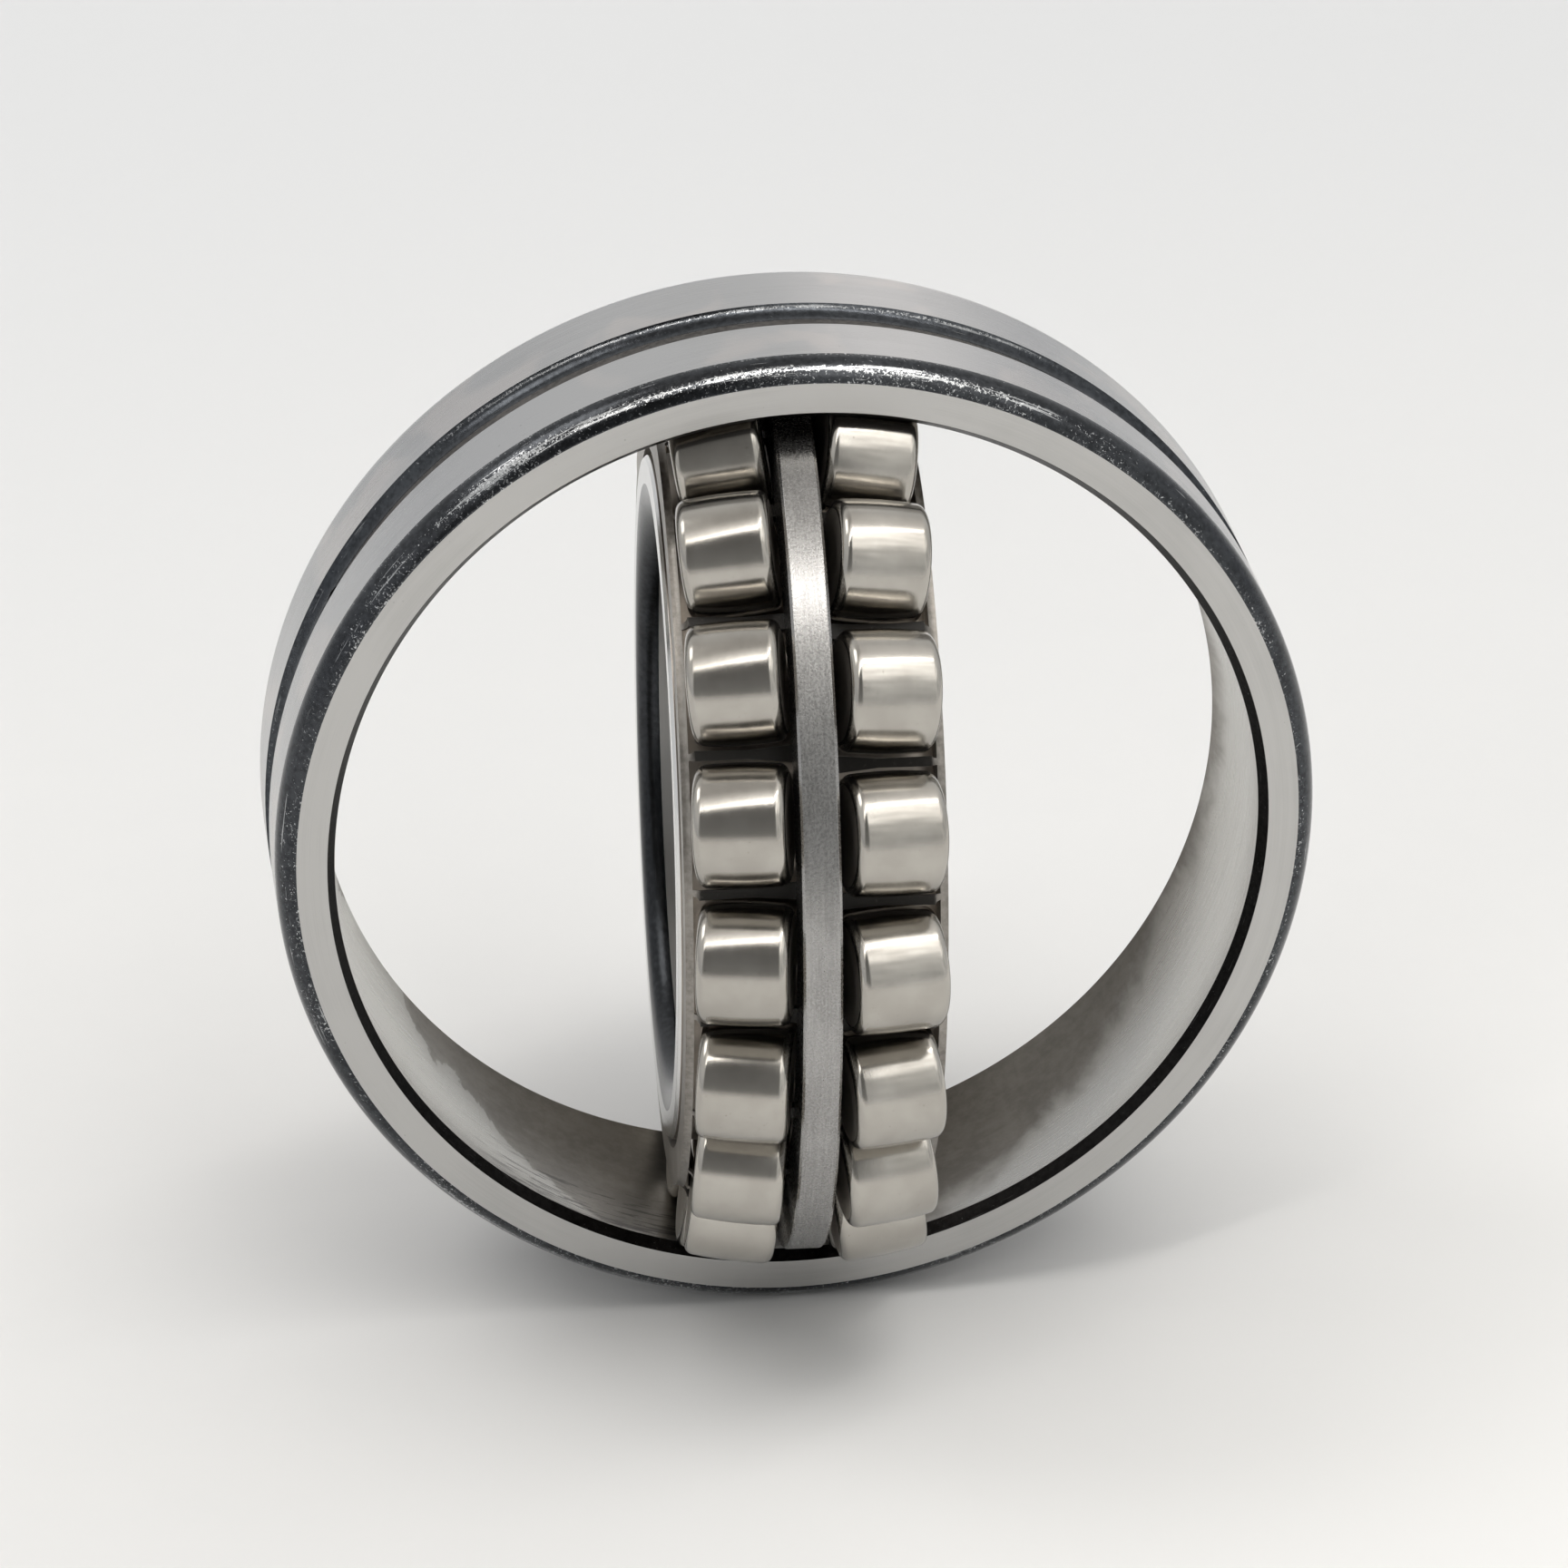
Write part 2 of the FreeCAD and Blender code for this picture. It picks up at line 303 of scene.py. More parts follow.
# the paper's painted shade far behind and painted light in front on the right
PAPER_FAR_SHADE, PAPER_NEAR_LIGHT = (0.675, 0.685, 0.70), (0.875, 0.875, 0.87)


def scaled(colour, share):
    """A darker or lighter colour of the same hue."""
    return tuple(c * share for c in colour)


def lathe_lane(g, x, y, z):
    """Radius plus height: the same all round the axis, and growing across every turned surface."""
    return g.plus(g.math("SQRT", g.plus(g.times(x, x), g.times(z, z))), y)


def ground_steel(name, colour, roughness, smear=0.0):
    """Fine-ground bearing steel: turning lines, cloudy oil film, dark specks and warm smears."""
    g = Finish(name)
    place = g.place()
    x, y, z = g.parts(place)
    lane = lathe_lane(g, x, y, z)
    fine = g.drawn_out(x, lane, z, 0.05, 9.0, 3.0)
    broad = g.drawn_out(x, lane, z, 0.03, 0.9, 3.0)
    cloud = g.noise(place, 0.045, 3.0, 0.5)
    speck = g.noise(place, 1.3, 1.0, 0.4)
    tone = g.weighed((fine, 0.16), (broad, 0.14), (cloud, 0.3))
    tone = g.span(tone, 0.2, 0.4, 0.86, 1.1, smooth=False)
    tone = g.times(tone, g.span(speck, 0.77, 0.82, 1.0, 0.72))
    shade = g.mix(tone, BLACK, colour)
    warm = g.span(g.noise(place, 0.06, 2.0, 0.5, 0.6), 0.52, 0.66)
    shade = g.mix(g.times(warm, smear), shade, WARM_SMEAR)
    rough = g.plus(g.times(fine, 0.16), roughness - 0.08, g.times(cloud, 0.08))
    return g.surface({"Base Color": shade, "Metallic": 1.0, "Roughness": rough,
                      "Normal": g.bump(fine, 0.16, 0.00003)})


# a black film's wear: how far it reaches from a rim, the levels between which scuffs and lines
# break through, and the stretches of x where the lane starts and ends; that lane of real hair
# scratches lies where the soft box's lamp reflects, so it is also a painted highlight streak
RIM_WIDTH = 0.9
SCUFF_BREAKS, LINE_BREAKS = (0.685, 0.73), (0.70, 0.75)
HIGHLIGHT_LANE_START, HIGHLIGHT_LANE_END = (-64.0, -48.0), (58.0, 28.0)


def black_oxide(name, colour, roughness, wear, rims=(), scratched_highlight_lane=None):
    """Blackened steel: fine mottling, hair scratches, and bare metal where the film is rubbed off.

    Each rim is a height on the piece along which the film is more worn. The highlight lane is a
    height and a half width: a lane worn bare by hair scratches on the left and in the middle of
    the piece, laid where the soft box's lamp reflects, so it is partly a painted highlight.
    """
    g = Finish(name)
    place = g.place()
    x, y, z = g.parts(place)
    height = g.math("ABSOLUTE", y)
    mottle = g.noise(place, 1.1, 6.0, 0.62)
    drift = g.noise(place, 0.09, 2.0, 0.5)
    lines = g.drawn_out(x, height, z, 0.10, 3.4, 4.0)
    scuff = g.noise(place, 2.4, 5.0, 0.68, 0.8)
    patch = g.noise(place, 0.07, 2.0, 0.5)

    # how near the film is to giving way, to scuffs and to scratches along the lathe's lines
    rim_wear = 0.0
    for rim in rims:
        rim_wear = g.math("MAXIMUM", rim_wear, g.span(g.away(height, rim), RIM_WIDTH, 0.05))
    worn_patch = g.times(g.span(patch, 0.40, 0.62), 0.05)
    scuff_level = g.plus(scuff, g.times(rim_wear, 0.075), worn_patch)
    line_level = g.plus(lines, worn_patch)
    # partly painted highlight: more bare metal along the lane where the lamp's streak falls, on the
    # left and top
    if scratched_highlight_lane:
        middle, half_width = scratched_highlight_lane
        reach = g.times(g.span(x, *HIGHLIGHT_LANE_END), g.span(x, *HIGHLIGHT_LANE_START, 0.35, 1.0))
        spread = g.span(x, -8.0, -42.0, 1.1 * half_width, 1.25 * half_width)
        lane = g.times(g.span(g.away(height, middle), spread, 0.05), reach)
        scuff_level = g.plus(scuff_level, g.times(lane, 0.15))
        line_level = g.plus(line_level, g.times(lane, 0.17))
    rubbed = g.span(scuff_level, *SCUFF_BREAKS)
    lined = g.times(g.span(line_level, *LINE_BREAKS), 0.6)
    bare = g.times(g.math("MAXIMUM", rubbed, lined), wear)

    tone = g.span(g.weighed((mottle, 0.7), (drift, 0.3)), 0.38, 0.62)
    shade = g.mix(tone, scaled(colour, 0.75), scaled(colour, 1.3))
    shade = g.mix(bare, shade, RUBBED_BARE_AND_HIGHLIGHT)
    rough = g.plus(g.times(mottle, 0.2), roughness - 0.1, g.times(bare, 0.08))
    uneven = g.weighed((mottle, 0.5), (scuff, 0.5))
    return g.surface({"Base Color": shade, "Metallic": 1.0, "Roughness": rough,
                      "Normal": g.bump(uneven, 0.45, 0.00009)})


# the oil film on a raceway: the stretch of x where its left side passes into its right, and the
# line of its end, at its lowest and at the knee
MIDDLE = (-10.0, 10.0)
LINE_LOWEST, KNEE_ASIDE = -18.0, 47.0
DRIED_START, DRIED_END = (-52.0, -44.0), (-4.0, -16.0)


def raceway_steel(name, colour, roughness, film):
    """Honed raceway, satin and brownish under oil.

    Film, 0 to 1, is how much shows of the place where the oil ends: bare and lighter towards the
    front, behind a soft line on the right, and a ragged one with dried streaks on the left.
    """
    g = Finish(name)
    place = g.place()
    x, y, z = g.parts(place)
    fine = g.drawn_out(x, y, z, 0.04, 5.0, 3.0)
    broad = g.drawn_out(x, y, z, 0.025, 0.55, 4.0)
    streak = g.drawn_out(x, y, z, 0.09, 0.05, 7.0, 0.62, 0.4)
    torn = g.drawn_out(x, y, z, 0.13, 0.9, 7.0, 0.62, 0.6)
    cloud = g.noise(place, 0.09, 4.0, 0.55)
    blotch = g.noise(place, 0.55, 6.0, 0.65)
    tone = g.span(g.weighed((cloud, 0.45), (broad, 0.15), (blotch, 0.4)), 0.38, 0.62)
    shade = g.mix(tone, scaled(colour, 0.85), scaled(colour, 1.12))

    # the height of the line where the film ends, from the foot of its rise over the knee: the
    # foot's distance aside and the knee's height go from one value on the left to one on the right
    aside = g.math("ABSOLUTE", x)
    foot = g.span(x, *MIDDLE, 30.0, 18.0)
    knee = g.span(x, *MIDDLE, 4.0, 1.0)
    line = g.plus(g.span(aside, foot, KNEE_ASIDE, LINE_LOWEST, knee, smooth=False),
                  g.span(aside, KNEE_ASIDE, 64.0, 0.0, 15.0, smooth=False))
    wave = g.times(g.minus(streak, 0.5), 20.0)
    behind = g.plus(g.minus(y, line), wave)
    ragged = g.times(g.span(x, *reversed(MIDDLE)), 0.55)
    soft = g.times(g.span(behind, 4.0, -5.0), g.minus(1.0, ragged))
    crisp = g.times(g.span(behind, 0.4, -0.4), ragged)
    bare = g.times(g.plus(soft, crisp), film)
    shade = g.mix(bare, shade, HONED_BARE)

    # dried oil, torn into streaks on the left, more of them towards the front
    dried_zone = g.between(x, DRIED_START, DRIED_END)
    easier = g.times(dried_zone, g.span(y, 0.0, -16.0, -0.05, 0.05, smooth=False))
    dried = g.span(g.plus(torn, easier), 0.535, 0.585)
    dried = g.times(dried, dried_zone, g.span(y, 1.0, -5.0), 0.85 * film)
    shade = g.mix(dried, shade, DRIED_OIL)

    rough = g.plus(g.times(fine, 0.12), roughness - 0.06)
    rough = g.minus(rough, g.times(bare, 0.06))
    uneven = g.weighed((fine, 0.5), (crisp, 1.5))
    return g.surface({"Base Color": shade, "Metallic": 1.0, "Roughness": rough,
                      "Normal": g.bump(uneven, 0.3, 0.00006)})


def guide_iron(name):
    """Sintered iron: matte, finely mottled, with pores and tiny bright crystals."""
    g = Finish(name)
    place = g.place()
    x, y, z = g.parts(place)
    mottle = g.noise(place, 2.6, 5.0, 0.6)
    cloud = g.noise(place, 0.11, 3.0, 0.5)
    lines = g.drawn_out(x, y, z, 0.08, 3.0, 3.0)
    pore = g.noise(place, 2.6, 2.0, 0.5)
    crystal = g.add("TexVoronoi", {"Vector": place, "Scale": 2.2}, feature="F1")
    tone = g.span(g.weighed((mottle, 0.6), (lines, 0.4)), 0.36, 0.64)
    shade = g.mix(tone, IRON_DARK, IRON_LIGHT)
    shade = g.mix(g.times(g.span(cloud, 0.48, 0.66), 0.3), shade, IRON_PALE)
    shade = g.mix(g.span(pore, 0.70, 0.78), shade, IRON_PORE)
    shade = g.mix(g.span(crystal, 0.10, 0.05), shade, IRON_CRYSTAL)
    uneven = g.plus(mottle, g.times(pore, 0.7))
    return g.surface({"Base Color": shade, "Metallic": 1.0,
                      "Roughness": g.span(mottle, 0.3, 0.7, 0.22, 0.32),
                      "Normal": g.bump(uneven, 0.2, 0.00005)})


def roller_steel(name):
    """Superfinished roller: a soft mirror, faintly warm, with hair-fine turning marks and haze."""
    g = Finish(name)
    place = g.place()
    x, y, z = g.parts(place)
    # each roller takes its clouds from another part of the noise
    shift = g.times(g.add("ObjectInfo", out="Random"), 90.0)
    shifted = g.add("VectorMath", {0: place, 1: g.vector(shift, 0.0, 0.0)})
    cloud = g.noise(shifted, 0.16, 3.0, 0.5)
    fine = g.drawn_out(x, lathe_lane(g, x, y, z), z, 0.15, 6.0, 3.0)
    haze = g.noise(shifted, 0.55, 5.0, 0.65)
    peel = g.noise(shifted, 2.6, 3.0, 0.6)
    speck = g.noise(shifted, 3.2, 1.0, 0.4)
    shade = g.mix(g.span(cloud, 0.3, 0.7), ROLLER_DARK, ROLLER_LIGHT)
    shade = g.mix(g.span(speck, 0.76, 0.80), shade, ROLLER_SPECK)
    rough = g.plus(g.weighed((haze, 0.12), (fine, 0.06)), 0.09)
    uneven = g.weighed((fine, 0.6), (haze, 1.4), (peel, 0.7))
    return g.surface({"Base Color": shade, "Metallic": 1.0, "Roughness": rough,
                      "Normal": g.bump(uneven, 0.16, 0.00003)})


def cage_steel(name):
    """Phosphated sheet: dull grey-brown on the flange, with painted black shade on the bars between
    the rollers.
    """
    g = Finish(name)
    # the CAD's cages are modelled in place, so their own axis is found by turning back the swivel
    turn_back = {"Vector": g.place(), "Angle": -SWIVEL}
    place = g.add("VectorRotate", turn_back, rotation_type="Z_AXIS")
    height = g.math("ABSOLUTE", g.parts(place)[1])
    mottle = g.noise(place, 0.9, 6.0, 0.65)
    cloud = g.noise(place, 0.12, 3.0, 0.5)
    scratch = g.noise(place, 3.0, 3.0, 0.6)
    shade = g.mix(g.span(mottle, 0.3, 0.7), SHEET_DARK, SHEET_LIGHT)
    shade = g.mix(g.times(g.span(cloud, 0.48, 0.66), 0.4), shade, SHEET_PALE)
    # painted shade: below a wavy line the bars between the rollers are painted near black and made
    # less metallic, for the shade that falls between the rollers
    shade_line = g.plus(height, g.times(g.minus(cloud, 0.5), 2.0))
    film = g.times(g.span(shade_line, 18.0, 17.0), g.span(mottle, 0.75, 0.6, 0.8, 0.97))
    shade = g.mix(film, shade, PAINTED_GAP_SHADE)
    uneven = g.plus(mottle, g.times(scratch, 0.4))
    return g.surface({"Base Color": shade, "Metallic": g.minus(1.0, g.times(film, 0.9)),
                      "Specular IOR Level": 0.25,
                      "Roughness": g.span(mottle, 0.3, 0.7, 0.34, 0.5),
                      "Normal": g.bump(uneven, 0.35, 0.00008)})


def paper():
    """Pale paper with the faintest mottling, with painted shade far behind and painted light in
    front on the right.

    Its scales are in metres.
    """
    g = Finish("paper")
    where = g.add("TexCoord", out="Object")
    x, y, _ = g.parts(where)
    cloud = g.noise(where, 3.0, 3.0, 0.5)
    fibre = g.noise(where, 60.0, 4.0, 0.6)
    tone = g.span(g.weighed((cloud, 0.7), (fibre, 0.3)), 0.3, 0.7)
    shade = g.mix(tone, PAPER_DARK, PAPER_LIGHT)
    # painted shade: the paper greys far behind
    shade = g.mix(g.span(y, 0.0, 0.6), shade, PAPER_FAR_SHADE)
    # painted light: the paper whitens in front on the right, which lifts the ring's soft shadow
    # there
    painted_front_light = g.weighed((x, 0.8), (y, -1.0))
    shade = g.mix(g.span(painted_front_light, -0.02, 0.22), shade, PAPER_NEAR_LIGHT)
    return g.surface({"Base Color": shade, "Roughness": 0.9, "Specular IOR Level": 0.2})


# the zones of the sections, each with its finish
FINISH = {
    "land": ground_steel("outer_land_ground", (0.49, 0.49, 0.492), 0.25, smear=0.5),
    "face": ground_steel("outer_face_ground", (0.50, 0.495, 0.485), 0.30),
    # the edge's and the groove's scratch lanes lie where the lamp reflects: real scratches and a
    # painted highlight streak
    "edge": black_oxide("outer_edge_oxide", (0.050, 0.053, 0.058), 0.13, 1.0,
                        rims=(19.9, 15.7), scratched_highlight_lane=(18.65, 0.9)),
    "groove_side": black_oxide("groove_oxide", (0.050, 0.054, 0.060), 0.10, 0.4,
                               scratched_highlight_lane=(3.75, 0.3)),
    "groove_floor": black_oxide("groove_floor_oxide", (0.115, 0.108, 0.102), 0.5, 0.1),
    "mouth": black_oxide("mouth_oxide", (0.018, 0.017, 0.017), 0.33, 0.2),
    "raceway": raceway_steel("outer_raceway", (0.26, 0.245, 0.222), 0.34, film=1.0),
    "hole": black_oxide("hole_oxide", (0.03, 0.03, 0.03), 0.5, 0.0),
    "bore": ground_steel("bore_ground", (0.50, 0.495, 0.485), 0.27),
    "bore_edge": black_oxide("bore_edge_oxide", (0.032, 0.034, 0.037), 0.22, 0.1),
    "inner_face": ground_steel("inner_face_ground", (0.73, 0.73, 0.72), 0.17),
    "inner_race": raceway_steel("inner_raceway", (0.40, 0.36, 0.32), 0.3, film=0.0),
    "guide": guide_iron("guide_iron"),
    "roller": roller_steel("roller_polished"),
    "roller_end": ground_steel("roller_end_ground", (0.42, 0.39, 0.35), 0.34),
}


# ---- turned meshes ----

ON_AXIS = 1e-6


def around(point, angle):
    """A section point or normal turned about the Y axis: angle 0 is +X, a quarter turn is +Z."""
    return np.array([point[0] * math.cos(angle), point[1], point[0] * math.sin(angle)])


class Turned:
    """A mesh in the making: a section turned about the Y axis, with exact normals.

    The corners of a face are (vertex number, normal), and every face belongs to a zone.
    """

    def __init__(self, runs, steps, closed=True, start=0.0):
        self.points, self.zones = joined(runs, closed)
        self.first, self.last = section_normals(self.points, closed)
        self.names = list(dict.fromkeys(zone for zone, _ in runs))
        self.angles = start + np.arange(steps) * FULL_TURN / steps
        self.verts, self.faces, self.normals, self.slots = [], [], [], []
        self.circles = [self.add_circle(point) for point in self.points]

    def add_vertex(self, place):
        self.verts.append(tuple(place))
        return len(self.verts) - 1

    def add_circle(self, point):
        """The numbers of a section point's vertices, which are one and the same on the axis."""
        if point[0] < ON_AXIS:
            return [self.add_vertex((0.0, point[1], 0.0))] * len(self.angles)
        return [self.add_vertex(around(point, angle)) for angle in self.angles]

    def add_face(self, zone, corners):
        if zone not in self.names:
            self.names.append(zone)
        self.slots.append(self.names.index(zone))
        self.faces.append([vertex for vertex, _ in corners])
        self.normals += [normal for _, normal in corners]

    def sweep(self, left_out=None):
        """Fills in the faces from circle to circle, apart from the cells that are left out."""
        steps = len(self.angles)
        for i, zone in enumerate(self.zones):
            j = (i + 1) % len(self.points)
            here, there = self.points[i], self.points[j]
            for k in range(steps):
                if left_out and left_out(here, there, k):
                    continue
                n = (k + 1) % steps
                corners = [(self.circles[i][c], around(self.first[i], self.angles[c]))
                           for c in (k, n)]
                corners += [(self.circles[j][c], around(self.last[i], self.angles[c]))
                            for c in (n, k)]
                if here[0] < ON_AXIS:
                    corners = corners[1:]
                elif there[0] < ON_AXIS:
                    corners = corners[:3]
                self.add_face(zone, corners)

    def mesh(self, name):
        """The Blender mesh, in metres, every face looking outward, with a finish for each zone."""
        verts = np.array(self.verts, float)
        shown, split_normals, at = [], [], 0
        for face in self.faces:
            own = self.normals[at : at + len(face)]
            at += len(face)
            p = verts[face]
            across = np.cross(p[1] - p[0], p[2] - p[0])
            if len(face) == 4:
                across = across + np.cross(p[2] - p[0], p[3] - p[0])
            if across @ np.sum(own, axis=0) < 0:
                face, own = face[::-1], own[::-1]
            shown.append(face)
            split_normals += [tuple(normal) for normal in own]
        mesh = bpy.data.meshes.new(name)
        mesh.from_pydata([tuple(vertex) for vertex in verts * MM], [], shown)
        mesh.polygons.foreach_set("material_index", self.slots)
        mesh.polygons.foreach_set("use_smooth", [True] * len(shown))
        mesh.update()
        mesh.normals_split_custom_set(split_normals)
        for zone in self.names:
            mesh.materials.append(FINISH[zone])
        return mesh


def placed(name, mesh, matrix, body, node):
    """An object that stands for a CAD node and rides on its body."""
    piece = bpy.data.objects.new(name, mesh)
    scene.collection.objects.link(piece)
    piece.matrix_world = matrix
    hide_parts(node)
    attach(piece, body)


# ---- outer ring ----

GROOVE_HALF, GROOVE_FLOOR_HALF, GROOVE_DEPTH = 4.15, 1.2, 1.5
EDGE_RADIAL, EDGE_AXIAL = 3.0, 4.4
MOUTH_RADIUS, MOUTH_DEPTH = 72.3, 2.0
GROUND_EDGE_STEPS = 7
RING_STEPS = 288

# a window is the block of grid cells that an oil hole takes: this many steps to either side of
# its axis, and up to these heights on the groove's side and on the raceway's
WINDOW_STEPS = 2
GROOVE_SIDE_ABOVE, GROOVE_WINDOW_HALF = 76.0, 2.62
RACEWAY_SIDE_BELOW, RACEWAY_WINDOW_HALF = 74.0, 4.3
# circles between a hole's rim and its window's, as shares of the way
WINDOW_SHARES = (0.0, 0.25, 0.55, 1.0)


def outer_ring_runs():
    groove = tangent_radius(GROOVE_DEPTH, GROOVE_HALF - GROOVE_FLOOR_HALF)
    edge = tangent_radius(EDGE_RADIAL, EDGE_AXIAL)
    edge_start = (OUTER_RADIUS, HALF_WIDTH - EDGE_AXIAL)
    edge_end = (OUTER_RADIUS - EDGE_RADIAL, HALF_WIDTH)
    floor_radius = OUTER_RADIUS - GROOVE_DEPTH
    floor_end, groove_end = (floor_radius, GROOVE_FLOOR_HALF), (OUTER_RADIUS, GROOVE_HALF)
    race_start = HALF_WIDTH - MOUTH_DEPTH
    race_end = (math.sqrt(RACE_RADIUS**2 - race_start**2), race_start)
    arc = curve(edge_start, edge_end, edge, LEFT, steps=16)
    before_edge = [
        ("groove_floor", straight((floor_radius, 0), floor_end, steps=2)),
        ("groove_side", curve(floor_end, groove_end, groove, RIGHT, steps=10)),
        ("land", straight(groove_end, edge_start)),
    ]
    after_edge = [
        ("face", straight(edge_end, (MOUTH_RADIUS, HALF_WIDTH))),
        ("mouth", straight((MOUTH_RADIUS, HALF_WIDTH), race_end)),
        ("raceway", curve(race_end, (RACE_RADIUS, 0), RACE_RADIUS, RIGHT, steps=26)),
    ]
    # grinding the land has taken the blacking off the first part of the rear edge
    rear_edge = [("land", arc[: GROUND_EDGE_STEPS + 1]), ("edge", arc[GROUND_EDGE_STEPS:])]
    front_edge = [("edge", arc)]
    return before_edge + rear_edge + after_edge + mirrored(before_edge + front_edge + after_edge)


def in_window(point, outside):
    """True for a section point at a window's height, on the groove's side or the raceway's."""
    radius, height = point[0], abs(point[1])
    if outside:
        return radius > GROOVE_SIDE_ABOVE and height < GROOVE_WINDOW_HALF
    return radius < RACEWAY_SIDE_BELOW and height < RACEWAY_WINDOW_HALF


def in_hole_window(here, there, cell):
    """True for the grid cells that a window takes."""
    spacing = RING_STEPS // len(HOLE_ANGLES)
    if WINDOW_STEPS <= cell % spacing < spacing - WINDOW_STEPS:
        return False
    return any(in_window(here, side) and in_window(there, side) for side in (True, False))


def window_rim(ring, axis, rows):
    """The window's outermost vertices in order: distance round from the axis, height, number."""
    middle = int(round((axis - ring.angles[0]) / (FULL_TURN / RING_STEPS))) % RING_STEPS
    columns = [(middle + s) % RING_STEPS for s in range(-WINDOW_STEPS, WINDOW_STEPS + 1)]
    loop = [(rows[0], c) for c in columns] + [(r, columns[-1]) for r in rows[1:]]
    loop += [(rows[-1], c) for c in columns[-2::-1]] + [(r, columns[0]) for r in rows[-2:0:-1]]
    rim = []
    for row, column in loop:
        radius, height = ring.points[row]
        offset = wrapped(ring.angles[column] - axis)
        rim.append((radius * math.sin(offset), height, ring.circles[row][column]))
    return rim


def fill_window(ring, axis, outside):
    """Fills a window around a round hole, and gives the hole's circle and the window's rim."""
    rows = [i for i, point in enumerate(ring.points) if in_window(point, outside)]
    rows.sort(key=lambda i: ring.points[i][1])
    radii, heights = ring.points[rows].T
    tilts = ring.first[rows].T
    rim = window_rim(ring, axis, rows)
    circles = []
    for share in WINDOW_SHARES:
        circle = []
        for across, height, vertex in rim:
            size = math.hypot(across, height)
            hole_across, hole_height = across / size * HOLE_RADIUS, height / size * HOLE_RADIUS
            here_across = hole_across + (across - hole_across) * share
            here_height = hole_height + (height - hole_height) * share
            radius = float(np.interp(here_height, heights, radii))
            turn = axis + math.asin(here_across / radius)
            if share < 1.0:
                vertex = ring.add_vertex(around((radius, here_height), turn))
            tilt = np.array([float(np.interp(here_height, heights, part)) for part in tilts])
            circle.append((vertex, around(tilt / math.hypot(*tilt), turn), here_height))
        circles.append(circle)
    for inner, outer in zip(circles, circles[1:]):
        for k in range(len(rim)):
            n = (k + 1) % len(rim)
            corners = [inner[k], inner[n], outer[n], outer[k]]
            on_floor = abs(sum(height for *_, height in corners)) / 4 < GROOVE_FLOOR_HALF
            groove_zone = "groove_floor" if on_floor else "groove_side"
            zone = groove_zone if outside else "raceway"
            ring.add_face(zone, [(vertex, normal) for vertex, normal, _ in corners])
    return circles[0], rim


def in_step(top_rim, low, low_rim):
    """The lower circle in the order that keeps the hole's wall from twisting."""
    def bearing(rim_point):
        return math.atan2(rim_point[1], rim_point[0])
    want = bearing(top_rim[0])
    shift = int(np.argmin([abs(wrapped(bearing(point) - want)) for point in low_rim]))
    return low[shift:] + low[:shift]


def add_oil_holes(ring):
    """Fills every window, and joins the groove to the raceway through its hole."""
    for angle in HOLE_ANGLES:
        axis = math.radians(angle)
        top, top_rim = fill_window(ring, axis, True)
        low, low_rim = fill_window(ring, axis, False)
        low = in_step(top_rim, low, low_rim)
        out = around((1.0, 0.0), axis)
        for k in range(len(top)):
            n = (k + 1) % len(top)
            corners = []
            for vertex, *_ in (top[k], top[n], low[n], low[k]):
                spot = np.array(ring.verts[vertex])
                away = spot - out * (spot @ out)
                corners.append((vertex, -away / np.linalg.norm(away)))
            ring.add_face("hole", corners)


outer_ring = Turned(outer_ring_runs(), RING_STEPS, start=math.radians(HOLE_ANGLES[0]))
outer_ring.sweep(left_out=in_hole_window)
add_oil_holes(outer_ring)
outer_mesh = outer_ring.mesh("outer_ring_turned")
placed("outer_ring_turned", outer_mesh, Matrix(), "outer", "outer_ring")


# ---- inner ring and guide ring ----

INNER_SET = Matrix.Rotation(SWIVEL, 4, "Z")
CENTRE_HALF = 1.5
RACE_EDGE = 0.5
RACE_POINTS = 19
BORE_EDGE_RADIAL, BORE_EDGE_AXIAL = 3.5, 3.5
GUIDE_RADIUS, GUIDE_BORE = 70.5, 61.13
GUIDE_HALF, GUIDE_BORE_HALF, GUIDE_EDGE = 2.9, 3.1, 0.4


def inner_race(height):
    """The inner raceway's radius at a height."""
    along = 2 * ROLLER_DISTANCE * math.sin(CONTACT_ANGLE) - height
    return 2 * ROLLER_DISTANCE * math.cos(CONTACT_ANGLE) - math.sqrt(RACE_RADIUS**2 - along**2)


def inner_ring_runs():
    race_end = HALF_WIDTH - RACE_EDGE
    top, foot = inner_race(race_end), inner_race(CENTRE_HALF)
    heights = np.linspace(CENTRE_HALF, race_end, RACE_POINTS)
    edge = tangent_radius(BORE_EDGE_RADIAL, BORE_EDGE_AXIAL)
    face_start = (top - RACE_EDGE, HALF_WIDTH)
    face_end = (BORE_RADIUS + BORE_EDGE_RADIAL, HALF_WIDTH)
    bore_start = (BORE_RADIUS, HALF_WIDTH - BORE_EDGE_AXIAL)
    half = [
        ("inner_race", straight((foot, 0), (foot, CENTRE_HALF))),
        ("inner_race", [(inner_race(a), a) for a in heights]),
        ("inner_face", straight((top, race_end), face_start)),
        ("inner_face", straight(face_start, face_end)),
        ("bore_edge", curve(face_end, bore_start, edge, LEFT, steps=14)),
        ("bore", straight(bore_start, (BORE_RADIUS, 0))),
    ]
    return half + mirrored(half)


